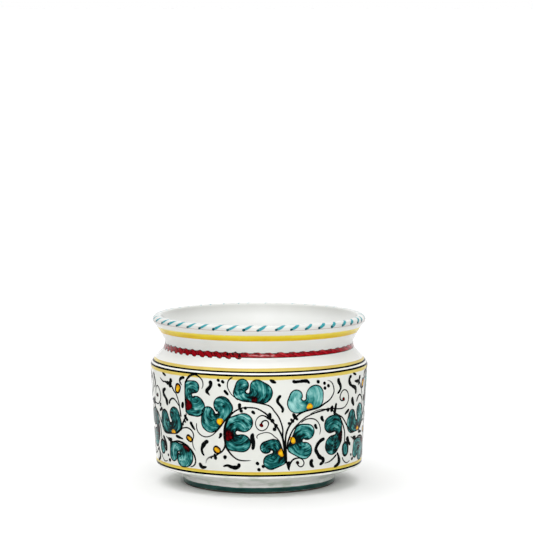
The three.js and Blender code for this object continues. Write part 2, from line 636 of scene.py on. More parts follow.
def white_of(finish):
    """The tin glaze's white, with painted light and shade in it: brighter on the shoulder as
    painted light where it faces up, greyer on the flare as painted shade where it faces down, a
    breath of green in the frieze, and on the slope above the foot greenish runs of glaze over a
    white made lighter as painted light. Deep in the mouth the shoulder's brighter white is painted
    light too."""
    height = finish.height()
    tone, fine = finish.cloud(0.035), finish.cloud(0.028, 3.0)
    ran = finish.cloud(0.016, 3.0).step(0.44, 0.66)
    # The flare's grey is painted shade, where the neck faces down; the shoulder's brighter white
    # is painted light, where it faces up, from just under the rope
    shaded_flare = finish.mix(tone, srgb(214, 215, 211), srgb(224, 225, 221))
    lit_shoulder = finish.mix(tone, srgb(240, 241, 238), srgb(247, 248, 246))
    frieze = finish.mix(fine, srgb(225, 227, 220), srgb(235, 236, 230))
    # On the slope the greenish runs are the glaze's own colour; the bright white under them is
    # painted light that lifts the slope's shade
    slope_runs_and_painted_light = finish.mix(ran, srgb(247, 247, 243), srgb(218, 225, 214))
    above = finish.mix(height.step(*SHOULDER_TO_FLARE), lit_shoulder, shaded_flare)
    banded = finish.mix(height.step(*SHOULDER_TO_FRIEZE), above, frieze)
    painted = finish.mix(height.step(*FRIEZE_TO_SLOPE), banded, slope_runs_and_painted_light)
    # Deep in the mouth the shoulder's brighter white is used as painted light that lifts the
    # well's shade
    inside = finish.mix(height.step(*LIP_TO_WELL), shaded_flare, lit_shoulder)
    return finish.mix(finish.mark("plain"), painted, inside)


def glaze_bump(finish):
    """The slow waviness of a dipped glaze, with the throwing rings under it."""
    rings = finish.cloud(0.006, 1.0, where=finish.vector(0.0, 0.0, finish.height()))
    return finish.cloud(0.012) + rings * 0.5


def tin_glaze():
    """The white glaze with its pinholes, and bare clay where the foot's edge was wiped, darkened
    there as painted shade where the foot stands on the floor.
    """
    f = Finish("tin glaze over turned clay")
    wiped = f.height().step(CLAY_EDGE * MM + 0.0003, CLAY_EDGE * MM - 0.0002)
    pinhole = f.cloud(0.0011, 1.0).step(0.80, 0.84) * f.cloud(0.03).step(0.5, 0.62)
    # The bare clay's brown is darkened nearly to black: painted shade where the foot meets the
    # floor
    clay_in_painted_shade = f.mix(f.cloud(0.0012, 3.0), srgb(38, 22, 6), srgb(86, 54, 26))
    white = f.mix(pinhole * 0.5, white_of(f), srgb(150, 140, 120))
    rough = wiped * 0.65 + f.cloud(0.02) * 0.08 + 0.1
    return f.surface(f.mix(wiped, white, clay_in_painted_shade), rough, bump=glaze_bump(f) - pinhole * 2)


def banded_paint(name, thick, thin, rise=0.0, rough=0.1, gloss=0.5):
    """A paint laid on the turning wheel: streaked along the band, thin at its soft edges.

    rise says how much thinner it gets from the band's heavy edge to its light one."""
    f = Finish(name)
    soft, edge = f.mark("depth"), f.mark("edge")
    along = f.mark("sweep") * (STREAK_HEIGHT / STREAK_LENGTH)
    streaks = f.cloud(STREAK_HEIGHT, where=f.vector(along, 0.0, f.height()))
    thinness = (
        streaks * 0.7 + f.cloud(0.02, 3.0) * 0.6 + soft * 0.55 + edge * 0.1 - 0.5
        + f.mark("fold") * rise
    )
    paint = f.ramp(thinness, (0.15, thick), (0.85, thin))
    cover = (soft + edge * 0.12 + f.cloud(0.003) * 0.2).step(1.12, 0.72) * f.mark("ink")
    return f.under_gloss(f.mix(cover, white_of(f), paint), rough, gloss)


def leaf_paint():
    """Copper green with the run of the brush in it, pale where thin, near black where pooled."""
    f = Finish("copper green brushed under gloss")
    depth, sway = f.mark("depth"), f.cloud(0.009, 1.0) - 0.5
    across, along = f.mark("out") + sway * 4, f.mark("sweep") + sway * 4
    leaf = depth * 7  # so that the brush ran differently in each leaf
    run = f.cloud(1.0, 1.0, where=f.vector(across * 0.32, along * 0.42, leaf)) - 0.5
    bristles = f.cloud(1.0, 1.0, where=f.vector(across * 1.25, along * 0.26, leaf + 5)) - 0.5
    blotch = f.cloud(0.009) - 0.5
    contrast = depth.step(-0.3, 0.0) * 0.55 + 0.45
    tone = (
        0.48 - depth + (run * 1.6 + bristles * 0.9 + blotch * 1.1) * contrast
        - f.mark("fold") * 0.5 - f.mark("rim").step(1.8, 0.0) * 0.14
    )
    teal = f.ramp(
        tone, (0.0, srgb(0, 16, 18)), (0.22, srgb(2, 61, 61)), (0.48, srgb(32, 115, 113)),
        (0.72, srgb(90, 166, 162)), (1.0, srgb(164, 216, 212)),
    )
    return f.under_gloss(teal, gloss=0.04)


def lip_paint():
    """Green that pools dark where the brush is set down and runs thin to the stroke's tail."""
    f = Finish("copper green dragged over the lip")
    tone = 0.42 - f.mark("depth") + (f.cloud(0.004) - 0.5) * 0.5
    paint = f.ramp(
        tone, (0.0, srgb(0, 70, 80)), (0.3, srgb(32, 138, 148)), (0.65, srgb(80, 176, 184)),
        (1.0, srgb(156, 208, 206)),
    )
    cover = f.mark("edge").step(1.05, 0.65) * f.mark("ink")
    return f.under_gloss(f.mix(cover, white_of(f), paint), gloss=0.15)


def ink_paint():
    f = Finish("manganese black drawn with the brush")
    black = f.mix(f.cloud(0.006), srgb(0, 0, 0), srgb(14, 18, 18))
    colour = f.mix(f.mark("ink").step(0.0, 0.7), white_of(f), black)
    return f.under_gloss(colour, rough=0.16, gloss=0.01)


def spot_paint(name, deep, bright, gloss):
    """A dab with blots in it, deep at its rim and brighter inwards."""
    f = Finish(name)
    tone = (
        0.4 - f.mark("depth") + f.mark("rim").step(0.2, 3.0) * 0.3
        + (f.cloud(0.0035) - 0.5) * 1.9 - f.mark("edge") * 0.2
    )
    return f.under_gloss(f.ramp(tone, (0.1, deep), (0.8, bright)), rough=0.12, gloss=gloss)


def rope_paint():
    """The rope's red: deep at the edge of every stroke and lighter along its middle."""
    f = Finish("iron red brushed in a rope")
    at_edge = f.mark("edge").step(0.4, 1.0)
    tone = 0.58 - f.mark("depth") - at_edge * 0.6 + (f.cloud(0.003) - 0.5) * 0.5
    colour = f.ramp(
        tone, (0.0, srgb(44, 0, 4)), (0.3, srgb(128, 8, 16)), (0.7, srgb(176, 20, 32)),
        (1.0, srgb(200, 62, 70)),
    )
    return f.under_gloss(colour, gloss=0.4)


# The frieze, in the flat drawing's millimetres. A leaf is a belt round five coins: its stem side's
# end, a lobe, the notch between the lobes, the other lobe and the stem side's other end.
LEAVES = {
    "tall left": dict(
        coins=[(-80.3, 92.9, 5.2), (-71.2, 97.8, 11), (-74.6, 110, -2.1), (-73, 119, 6.4),
               (-80.4, 119.9, 5)],
        eye=[(-82.6, 101.4, 3.4), (-82.6, 95.8, 3.6), (-80.4, 98.4, 4.2)], spot="red", depth=0.02,
    ),
    "leaning": dict(
        coins=[(-36, 98.5, 8), (-39.6, 101.2, 9.5), (-46.3, 93.2, -2.4), (-56.2, 91, 7.6),
               (-53.8, 82, 11.2)],
        eye=[(-43.2, 83.4, 3.2), (-41.8, 81.6, 2.6), (-41.4, 84, 2.8)], spot="yellow", depth=0.0,
    ),
    "middle left": dict(
        coins=[(-28.5, 60.3, 8.4), (-18.3, 60.5, 9.4), (-22.8, 71.8, -2.7), (-16.5, 83, 10),
               (-25.5, 79, 10.6)],
        eye=[(-33.8, 71, 3.3), (-33.8, 65.4, 3.3), (-31.6, 68.3, 4.6)], spot="red", depth=0.08,
    ),
    "top": dict(
        coins=[(3.2, 115.2, 11.2), (-1.6, 122.6, 7.2), (-11.7, 117, -2.5), (-17.2, 123.8, 6.6),
               (-18.8, 115.2, 8)],
        eye=[(-6, 107.7, 1.9), (-3.2, 107.4, 1.9), (-4.6, 109, 2.9)], spot="red", depth=0.0,
    ),
    "pale": dict(
        coins=[(64.6, 105.4, 8.3), (62.4, 111, 10.6), (49.2, 108.2, -2.8), (40.2, 110.6, 7.1),
               (42, 103.6, 11.2)],
        eye=[(54.6, 98, 2.1), (58.2, 98.5, 2.1), (56.4, 99.5, 2.9)], spot="yellow", depth=-0.3,
    ),
    "foot left": dict(
        coins=[(15.5, 55.9, 9), (8, 56, 6.4), (13.8, 51, -2.1), (13.5, 40.2, 8.3),
               (26, 40.6, 3.9)],
        eye=[(25.4, 48, 2.4), (24.8, 51.8, 2.4), (24.3, 49.9, 3.3)], spot="yellow", depth=0.06,
    ),
    "foot right": dict(
        coins=[(38, 54.6, 6), (51.3, 50.9, 9), (50.6, 62, -2.3), (54.4, 71.2, 8.3),
               (46.4, 73.6, 6.4)],
        eye=[(35.4, 64.9, 2.1), (38.2, 61.5, 2.3), (37.3, 63.5, 2.6)], spot="yellow", depth=0.06,
    ),
    "tall right": dict(
        coins=[(90.5, 74.5, 12.3), (85.4, 76.8, 9.2), (91.4, 66.4, -2.2), (88.8, 53.6, 10.4),
               (92.5, 60.5, 11.4)],
        eye=[(102, 66, 2.6), (101.4, 62, 3.6), (102, 58, 2.4)], spot="dark red", depth=0.2,
    ),
    "far left": dict(
        coins=[(-105.8, 76.6, 12.4), (-104.6, 85.4, 8.2), (-112.2, 77.6, -2.4), (-124.4, 81.8, 7),
               (-122, 74.4, 11.6)],
        eye=[(-110, 66, 1.6), (-105.6, 65.9, 1.6), (-107.7, 66.6, 2.3)], spot="yellow", depth=0.14,
    ),
    "low left": dict(
        coins=[(-108.6, 48, 7.4), (-109.8, 40.6, 6.8), (-99.8, 43.3, -2.2), (-94.6, 37.4, 8.2),
               (-90, 41.3, 11.9)],
        eye=[(-90, 52.8, 3), (-84.6, 49.6, 3.2), (-87, 50.6, 4)], spot="red", depth=-0.02,
    ),
}
SPROUT = [(111.9, 44.3, 5.4), (111.5, 48.5, 5.8)]
BUDS = [
    [(-97.5, 113.4, 2.9), (-96.2, 116.5, 3.2)],
    [(-83.6, 62.4, 2.2), (-80.9, 60.8, 2.2)],
    [(-47.5, 52.6, 2.9), (-46, 51.4, 3)],
]

# Stems and tendrils: the points they pass, the widths along them, and the ink left at each end
STEMS = [
    ([(-85.4, 89.6), (-85.9, 106), (-85.3, 121), (-83.1, 125.2), (-81, 128.1), (-77.4, 131),
      (-71.7, 132.6), (-66.7, 131), (-63.1, 128.1), (-61.5, 124.6), (-61.7, 120.3),
      (-63.5, 117.4)],
     [1.0, 1.2, 1.0, 1.6, 0.9, 0.6], 1, 0.3),
    ([(-85.4, 89), (-86, 86), (-88.8, 81), (-92.4, 75.3), (-93.5, 71), (-97, 68)],
     [1.0, 1.4, 1.0], 1, 1),
    ([(-71.3, 79.6), (-71.5, 74.6), (-69.5, 69.6), (-65.3, 66.4), (-59.5, 65.3), (-53.1, 67.1),
      (-48.1, 71), (-43.1, 76), (-36, 85), (-27, 95)], [0.7, 0.8, 0.7, 0.8, 0.7, 0.6], 0.6, 1),
    ([(-102.4, 65.6), (-98.1, 68.5), (-93.1, 71.4), (-88.1, 72.8), (-83.8, 73.1), (-79.5, 71.4),
      (-76.7, 68.1), (-76, 64.6), (-77.4, 60.3), (-77.8, 56.7), (-76.7, 52.4), (-73.5, 48.5)],
     [1.2, 0.9, 1.0, 0.7, 0.5], 1, 0.2),
    ([(-82, 51), (-78.1, 46.7), (-75.6, 42.4), (-74.5, 37.4), (-75.6, 33.9), (-78.5, 31.4),
      (-82.4, 30.4)], [1.2, 1.4, 1.1, 0.6], 1, 0.4),
    ([(-124, 59.2), (-119.7, 57.1), (-112.2, 54.2), (-102, 56.4), (-93, 55.6), (-83, 51.7)],
     [0.7, 1.0, 1.5, 1.4], 0.4, 1),
    ([(-101, 110.3), (-98.1, 104.6), (-96, 98.9), (-94.9, 93.1), (-93.6, 84)],
     [0.9, 0.8, 1.0, 1.4], 1, 1),
    ([(-113.3, 96), (-112.6, 98.9), (-109.7, 101.7), (-106.5, 103), (-102.6, 102.1), (-98.8, 98.9),
      (-95.6, 95.3)], [1.8, 1.3, 0.9, 0.8], 0.9, 1),
    ([(-101.1, 109.9), (-103.3, 111), (-105.8, 114.6), (-107.9, 116.7), (-112, 119),
      (-116.1, 119.6), (-121.1, 119.8)], [1.0, 1.3, 1.6, 1.4], 1, 1),
    ([(28.7, 51.7), (26.2, 67.4), (25.9, 75.3), (24.1, 82.4), (20.9, 89.6), (16.6, 95.3),
      (13.5, 99.6), (8.5, 102.4), (-5, 105.3), (-16.5, 106.4), (-21.5, 108.5), (-27.2, 111.7),
      (-30.8, 116), (-33.3, 121.7), (-32.5, 127.4), (-30, 130.6), (-27.5, 132)],
     [1.5, 1.1, 1.0, 0.9, 0.9, 0.8, 0.6, 0.6, 1.1], 1, 1),
    ([(30.1, 41), (28.7, 51.7), (25.9, 66), (22.3, 73.9), (18, 80.3), (12.3, 86.7), (8.9, 91.7),
      (4.2, 95.3), (-2.2, 98.5), (-9.3, 99.6), (-16.5, 99.2), (-21.5, 97.4), (-27.2, 93.9),
      (-31.5, 89.6), (-34.3, 84.6), (-36.5, 78.9), (-37.4, 73.1), (-37.4, 64.6), (-36.8, 58.9),
      (-37.9, 54.6), (-40.8, 50.6), (-45, 48.1), (-48.1, 46), (-53.1, 44.2), (-56.7, 42.8),
      (-59.5, 40.3), (-61, 36)],
     [2.0, 1.6, 1.2, 1.2, 1.0, 0.9, 1.0, 1.6, 1.8, 1.2, 1.2, 0.7], 1, 0.3),
    ([(-36.8, 58.9), (-35.8, 55.3), (-32.9, 51), (-29.3, 46.7), (-24.3, 43.1), (-20, 41.7),
      (-14.3, 41.4), (-7.9, 41.9)], [1.5, 1.2, 0.9, 0.5], 1, 0.2),
    ([(-1.1, 65.6), (-2.2, 67.4), (-0.8, 69.9), (2.8, 71.4), (7.8, 72.4), (12.8, 71.4),
      (16.6, 68.1), (20.1, 65.3), (23, 61.7)], [0.6, 0.6, 0.7], 0.35, 0.7),
    ([(30.1, 41), (29.8, 51.7), (29.1, 61), (29.4, 68.1), (30.9, 73.9), (33.7, 79.6), (37.3, 84.6),
      (40.9, 88.5), (45.1, 91.7), (52.3, 94.2), (60.9, 95.6), (68, 97.1), (75.3, 100.6),
      (81, 103.5), (85.3, 107.4), (87.8, 112.4), (87.1, 117.4), (85, 121.7), (81, 124.9),
      (77.5, 125.6)], [1.6, 1.2, 1.3, 1.1, 1.2, 0.9, 0.7], 1, 0.3),
    ([(31.6, 53.1), (31.6, 58.9), (33, 64.6), (35.9, 71.7), (38.7, 76), (42.3, 79.6), (46.6, 83.5),
      (52.3, 87.4), (59.4, 90.3), (66.6, 92.1), (76.7, 93.8), (83.9, 94.2), (92.5, 93.1),
      (99.6, 92.6), (105.3, 93.1), (109.6, 95.6), (112.8, 100.3), (112.5, 106), (109.6, 110.6),
      (104.6, 112.8), (100.3, 111), (97.8, 106.7), (98.2, 103.1), (101, 101.2), (104.6, 101.6)],
     [1.2, 1.1, 0.9, 0.9, 1.2, 0.9, 0.8, 0.9, 0.8, 1.2], 1, 1),
    ([(57, 90.6), (64, 93.4), (71, 94.6), (80, 94.4)], [0.4, 0.5, 0.4], 0.6, 1),
    ([(46.6, 81.7), (50.9, 84.6), (56.6, 85.6), (62.3, 84.6), (66.6, 81.7), (69.4, 77.4),
      (70.9, 71.7), (69.8, 66.7)], [0.7, 0.8, 0.7, 0.5], 0.7, 0.3),
    ([(83.9, 93.9), (88.9, 90.3), (93.2, 87.4), (98.2, 84.9), (102.5, 82.8), (106.7, 78.9),
      (110.3, 74.6), (113.9, 71), (118.2, 67.4), (122.5, 64.6), (131, 63.5)],
     [0.9, 1.0, 1.0, 0.9], 1, 0.8),
    ([(93.2, 87.1), (98.2, 83.9), (103.2, 76.7), (106, 71.7), (108.5, 66), (109.2, 60.3),
      (109.6, 53.9)], [1.0, 1.1, 1.0], 1, 0.8),
    ([(96, 42.4), (91.7, 39.2), (87.5, 36.7), (83.2, 35.3), (77.5, 34.7)],
     [1.4, 1.0, 0.5], 1, 0.3),
    ([(106.4, 38.1), (108.5, 34.6), (112.5, 31.7), (116.7, 30.6), (122.5, 32.4)],
     [0.8, 0.7, 0.5], 0.8, 0.3),
    ([(33, 31), (34, 35), (35.1, 38.1), (38, 41.7), (42.3, 43.1), (46.6, 42.8), (50.1, 40.3),
      (51.2, 36.7), (49.4, 33.9), (46.6, 33.5), (44.1, 35.3), (43, 37.4)],
     [1.4, 1.3, 0.8, 0.8, 0.9], 1, 1),
    ([(28.7, 57), (29.1, 50), (29.8, 43), (31.5, 38), (34.1, 30)],
     [0.8, 1.0, 1.1, 1.5, 0.9], 0.9, 1),
]
# Short dashes and commas that fill the ground, and the cross strokes over the stems
DASHES = [
    ([(-85.6, 127.9), (-89.5, 127.5), (-92.8, 125.2), (-92.9, 122.4), (-90, 119.2)],
     [1.9, 2.2, 1.9, 1.3, 0.6]),
    ([(-89.5, 101), (-91, 93.9)], [2.2]),
    ([(-79.9, 80.3), (-77.4, 76), (-73.5, 71.4)], [2.4, 2.2, 0.9]),
    ([(-104, 62.4), (-91.7, 59.9)], [2.4, 2.0, 0.9]),
    ([(-125.4, 129.2), (-117.6, 126.7)], [1.2, 2.0, 1.0]),
    ([(-53.1, 127.4), (-52, 123.1), (-53.8, 119.6), (-56.7, 116.7), (-56.7, 114.6), (-53.5, 111)],
     [2.8, 2.4, 2.2, 2.4, 0.9]),
    ([(-37.2, 117.8), (-32.5, 112.4)], [2.4, 1.2]),
    ([(-56.7, 61), (-60.3, 59.2), (-63.8, 55.3), (-65.6, 51), (-64.5, 46.7), (-62.4, 44.6)],
     [2.6, 2.8, 2.3, 1.4]),
    ([(-68.5, 36.4), (-68.1, 33.9), (-65.3, 31.4), (-59.9, 32.4)], [2.8, 2.4, 1.0]),
    ([(-41.5, 71), (-42.2, 67.4), (-44.3, 64.6)], [2.2, 1.8, 1.0]),
    ([(-6.1, 71.7), (-7.2, 67.4), (-6.1, 62.4), (-5.8, 58.1), (-6.8, 53.5)], [1.8, 2.6, 2.4, 2.2]),
    ([(-37.5, 46.7), (-37.5, 42.1)], [2.8, 1.9]),
    ([(-40, 34.2), (-35, 35.6), (-30.8, 34.2), (-25.8, 33.5), (-22.2, 34.9), (-21.8, 38.5)],
     [1.0, 2.0, 2.2, 2.8, 3.0]),
    ([(-7.5, 96), (-4, 92.4)], [2.6, 1.6]),
    ([(36.2, 128.5), (38, 126.7), (42.3, 126.7), (48, 127.1), (52.3, 126.7), (55.5, 123.9)],
     [2.8, 2.0, 1.8, 2.2, 2.6, 1.2]),
    ([(64.1, 126.7), (67.6, 123.5)], [1.8, 2.6, 1.2]),
    ([(11.4, 129.9), (14.5, 128), (18.4, 126)], [1.2, 2.6, 1.0]),
    ([(96.7, 44.6), (98.9, 41), (100.7, 36), (100.3, 32.4), (96.7, 30.3), (92.5, 28.9)],
     [1.4, 2.0, 2.6, 2.4, 1.6]),
    ([(77.1, 61.7), (73.3, 61), (69.4, 58.5), (66.6, 54.6), (65.5, 51), (67.3, 47.4), (70.9, 42.4),
      (75.7, 39.6), (76, 36.7), (73.9, 34.9), (71, 33.9)], [2.2, 2.6, 2.2, 2.8, 1.6]),
    ([(63.4, 79.2), (64.8, 75.3), (66.9, 73.9)], [2.3, 1.4]),
    ([(71.6, 87.4), (72.5, 83.9), (75.3, 81)], [2.6, 1.4]),
    ([(61.9, 40.6), (59.8, 37.4), (60.9, 33.9), (64.1, 31.7)], [2.8, 2.6, 1.6]),
    ([(94.2, 126.7), (94.2, 123.1), (97.1, 118.9), (98.2, 115.3), (96, 111.7), (93.2, 109.6)],
     [3.0, 2.4, 2.2, 1.8, 1.2]),
    ([(107.1, 85.3), (115.3, 89.9)], [1.2, 2.8]),
    ([(-120.4, 33.1), (-115.8, 33.9)], [2.0]),
]
GREY_DASH = (
    [(23.4, 112.8), (20.1, 108.1), (20.5, 104.6), (24.1, 100.3), (25.9, 97.1), (25, 93.5)],
    [1.8, 2.0, 1.8, 2.0, 1.6],
)
CROSS_STROKES = [
    ((-88.5, 87.1), (-83.5, 80.6), 2.2), ((-89.9, 81.7), (-86.3, 78.5), 1.8),
    ((-92.4, 77.4), (-89.9, 75.3), 1.5), ((-119.7, 56.7), (-111.1, 56.7), 2.6),
    ((-112.9, 58.9), (-115.1, 51), 2.2), ((-106.6, 124.4), (-110.6, 120.4), 3.0),
    ((-115.8, 121), (-113.6, 117.2), 3.4), ((-109.5, 122), (-110.8, 114.4), 3.2),
    ((-20.4, 104.2), (-20.4, 97.4), 2.6), ((-20, 98.1), (-17.5, 93.9), 2.0),
    ((-14.3, 100.6), (-14, 97.1), 2.6), ((-49.9, 47.8), (-48.1, 41), 2.4),
    ((-54.9, 43.4), (-52.6, 42.9), 2.0), ((11.7, 93.9), (11.4, 86), 2.6),
    ((14.6, 87.4), (14.6, 82.8), 3.0), ((17.2, 81.4), (19.8, 77.8), 2.8),
    ((15.6, 77.4), (18.4, 74.2), 2.6), ((36.6, 92.4), (40.6, 86.6), 3.0),
    ((39.1, 88.1), (43, 84.9), 1.8), ((34.4, 86.7), (38, 82.4), 2.6),
    ((31.6, 82.8), (34.4, 80.3), 2.0), ((80.3, 95.6), (80.3, 91), 3.0),
    ((86.4, 97.4), (85, 90.3), 2.6), ((92.1, 99.6), (89.6, 86.7), 2.4),
    ((31.2, 41), (28.7, 38.1), 2.5), ((33.7, 40.3), (33, 36), 2.2), ((31.6, 36), (34.1, 30), 1.2),
]
DOTS = [
    (-43.3, 128.1, 1.5), (-38.3, 126.7, 1.5), (-42.2, 122.8, 1.5), (-1.3, 38.5, 1.6),
    (5, 35.3, 1.6), (0.3, 31.7, 1.6), (74.2, 122.8, 1.6), (79.6, 119.6, 1.6), (75, 117.4, 1.6),
    (-121.1, 38.5, 1.3),
]
# What the painter put into the gap at the left of the first and last repeat, and of the second
GAP_FILL = [
    ([(-119.3, 112.4), (-124.7, 109.6), (-124.7, 106), (-121.8, 103.1), (-118.6, 99.6),
      (-117.6, 93.9)], [2.0, 2.8, 2.2, 3.2]),
    ([(-131.8, 58.5), (-129, 56.7), (-126.5, 52.4), (-124.7, 48.1), (-125.4, 42.4)],
     [2.0, 3.0, 2.3]),
    ([(-120.5, 119.8), (-125.4, 119.9), (-129, 121.7), (-131.8, 123.1)], [1.1, 0.9, 0.5]),
    ([(-135.8, 94.4), (-133, 91)], [2.8]),
]
SECOND_GAP_FILL = [
    ([(-128.2, 126.7), (-131.5, 125.3), (-132.5, 121.7), (-130.4, 118.1), (-126.1, 115.3),
      (-120.4, 113.1), (-117.5, 111), (-116.5, 105.3)], [2.0, 2.6, 2.0, 2.6, 2.2]),
    ([(-123.8, 103.1), (-124.3, 99.6), (-122.5, 96), (-120.4, 92.4)], [3.0, 3.2, 1.8]),
    ([(-131.5, 60), (-129.5, 56.5), (-127, 52.8), (-123.6, 49.3)], [3.0, 3.2, 2.6, 1.6]),
    ([(-121.5, 119.6), (-118, 120.3), (-114, 119.4)], [0.6, 0.8]),
]
# The small spiral that hangs on the stem, from its outer end inwards
SNAIL = [
    (10.5, 87.1), (8.1, 89.4), (3.4, 91), (-1.3, 88.3), (-3.6, 82.4), (-1.6, 76.7), (3.1, 74.4),
    (8.1, 76.4), (10.5, 81.5), (9.3, 84.9), (6.1, 85.5), (3.4, 83.6), (2.7, 80.9),
]


# The painting

FRIEZE_MIDDLE = Vector((0, 80))
FINE_CELL = 1.0  # of the small washes
EYE_DEPTH = {"yellow": 0, "red": 0.2, "dark red": 0.5}
SNAIL_WIDTHS = [1.4, 0.8, 0.6, 0.6, 0.7, 0.7, 0.9, 1.1]
RED_DABS = [(2.7, 80.3, 2.1), (43.4, 38.1, 2.0), (103.9, 102.6, 2.2)]

# A leaf's outline changes its width this often, and is heavier near its stem side
OUTLINE_STEPS = 24
STEM_SIDE_EXTRA = 0.28
STEM_SIDE_REACH = 4.0

leaf_washes, frieze_drawing, yellow_spots, red_spots = (Drawing() for _ in range(4))


def astray(most, sway):
    """How far the hand strays, up to most; not at all where sway is 0."""
    return HAND.uniform(-most, most) * sway


def middle_of(points):
    return sum((Vector(p[:2]) for p in points), Vector((0, 0))) / len(points)


def moved(points, across, tilt=0.0, about=FRIEZE_MIDDLE):
    """The points tilted about one point, then shifted across."""
    turn = Matrix.Rotation(tilt, 2)
    return [turn @ (Vector(p[:2]) - about) + about + Vector((across, 0)) for p in points]


def moved_coins(coins, across, tilt=0.0, about=FRIEZE_MIDDLE):
    return [(p.x, p.y, c[2]) for p, c in zip(moved(coins, across, tilt, about), coins)]


def outline_of(coins, width, stem_side=None):
    """The drawn outline of a leaf: heavier along its stem side, with a wandering width."""
    outline = belt(coins)
    loop = outline[len(outline) // 2 :] + outline[: len(outline) // 2 + 2]
    widths = []
    for point in loop[:: max(1, len(loop) // OUTLINE_STEPS)]:
        widths.append(width * (1 + HAND.uniform(-0.2, 0.25)))
        if stem_side:
            away = from_line(point, *stem_side) / STEM_SIDE_REACH
            widths[-1] += STEM_SIDE_EXTRA * math.exp(-(away**2))
    frieze_drawing.brush(loop, widths, lift=OUTLINE - 0.02, press=0.2)


def painted_leaf(shape, across, sway):
    """A leaf's wash, its outline and the spot in its eye."""
    tilt, drift = astray(0.04, sway), astray(0.6, sway)
    about = middle_of(shape["coins"])
    coins = moved_coins(shape["coins"], across + drift, tilt, about)
    eye = moved_coins(shape["eye"], across + drift, tilt, about)
    depth = shape["depth"] + astray(0.06, sway)
    stem_from, notch, stem_to = (Vector(coins[i][:2]) for i in (0, 2, 4))
    leaf_washes.wash(coins, pool=(notch, middle_of(eye), (stem_from + stem_to) / 2), depth=depth)
    outline_of(coins, 0.66, stem_side=(stem_from, stem_to))
    spots = yellow_spots if shape["spot"] == "yellow" else red_spots
    spots.wash(eye, lift=OVER_WASH, depth=EYE_DEPTH[shape["spot"]], cell=FINE_CELL)


def painted_growth(across, sway):
    """The leaves, the sprout, the buds and the stems that they grow from."""
    for shape in LEAVES.values():
        painted_leaf(shape, across, sway)
    sprout = moved_coins(SPROUT, across)
    leaf_washes.wash(sprout, depth=0.1)
    outline_of(sprout, 0.9)
    for coins in BUDS:
        bud = moved_coins(coins, across)
        yellow_spots.wash(bud, lift=OVER_WASH, cell=FINE_CELL, depth=0.05)
        outline_of([(x, y, radius + 0.4) for x, y, radius in bud], 1.1)
    for points, widths, start, end in STEMS:
        stem = moved(points, across + astray(0.3, sway))
        lift = OUTLINE + HAND.uniform(-0.012, 0.012)
        frieze_drawing.brush(stem, widths, lift=lift, start=start, end=end)
    frieze_drawing.brush(moved(SNAIL, across), SNAIL_WIDTHS)


def painted_ground(gap_fill, across, sway):
    """The dashes, cross strokes, dots and dabs that fill the ground between the leaves."""
    for dash in DASHES + gap_fill + [GREY_DASH]:
        points, widths = dash
        tilt, drift = astray(0.12, sway), astray(0.8, sway)
        frieze_drawing.brush(
            moved(points, across + drift, tilt, middle_of(points)), [w * BROAD for w in widths],
            lift=OUTLINE + 0.01, ink=0.8 if dash is GREY_DASH else 1.0, press=0.3,
        )
    for a, b, width in CROSS_STROKES:
        widths = [width * 0.8, width, width * 0.85]
        frieze_drawing.brush(moved([a, b], across), widths, lift=OUTLINE + 0.02, press=0.5)
    for x, y, radius in DOTS:
        reach = HAND.uniform(0.15, 0.4)
        coins = [(x - reach, y + reach, radius * 1.15), (x + reach, y - reach, radius * 1.05)]
        frieze_drawing.wash(moved_coins(coins, across), lift=OUTLINE, cell=FINE_CELL)
    for x, y, radius in RED_DABS:
        lumps = ((-0.5, 0.2), (0.6, -0.5), (0, 0.5))
        coins = [(x + aside, y + up, radius * 0.8) for aside, up in lumps]
        red_spots.wash(moved_coins(coins, across), lift=OUTLINE + 0.07, depth=0.1, cell=FINE_CELL)


# The first repeat faces the front; in the others everything is a little out of place
for sway, across, gap_fill in (
    (0.0, 0.0, GAP_FILL), (1.0, REPEAT, SECOND_GAP_FILL), (1.0, -REPEAT, GAP_FILL),
):
    painted_growth(across, sway)
    painted_ground(gap_fill, across, sway)

# Banded rings, each from the height of its heavy edge to that of its light one
TILT = 1.2  # half of how much lower the upper bands run at the back
yellow_bands = Drawing()
for heavy, light, how in (
    (169.8, 176.6, dict(ragged=0.2, steps=5, soft_light=0.7, tilt=TILT)),
    (141.1, 138.0, dict(ragged=0.2, soft_heavy=0.45, soft_light=0.35, tilt=TILT, ink=0.86)),
    (129.2, 133.7, dict(ragged=0.35, steps=5, soft_heavy=0.7, soft_light=0.25, ink=0.9)),
    (29.0, 25.8, dict(ragged=0.2, soft_heavy=0.35, soft_light=0.6, ink=0.94)),
):
    yellow_bands.ring(heavy, light, lift=BANDED, **how)
black_rings = Drawing()
for heavy, light in ((136.5, 138.05), (132.8, 134.75), (23.9, 25.95)):
    black_rings.ring(heavy, light, lift=OVER_WASH, ragged=0.12, steps=2)

ROPE_LOW, ROPE_HIGH = 151.2, 156.2
ROPE_PITCH = 14.4  # from one slanting stroke to the next
ROPE_SEAM = -22.5  # left of the front
SEAM_DABS = [
    (-38.5, 154.6, 1.4), (-31.5, 155.6, 1.6), (-28.5, 156.4, 1.8), (-25.4, 155, 1.9),
    (-23.6, 153.2, 1.9), (-24.6, 151.4, 1.6),
]


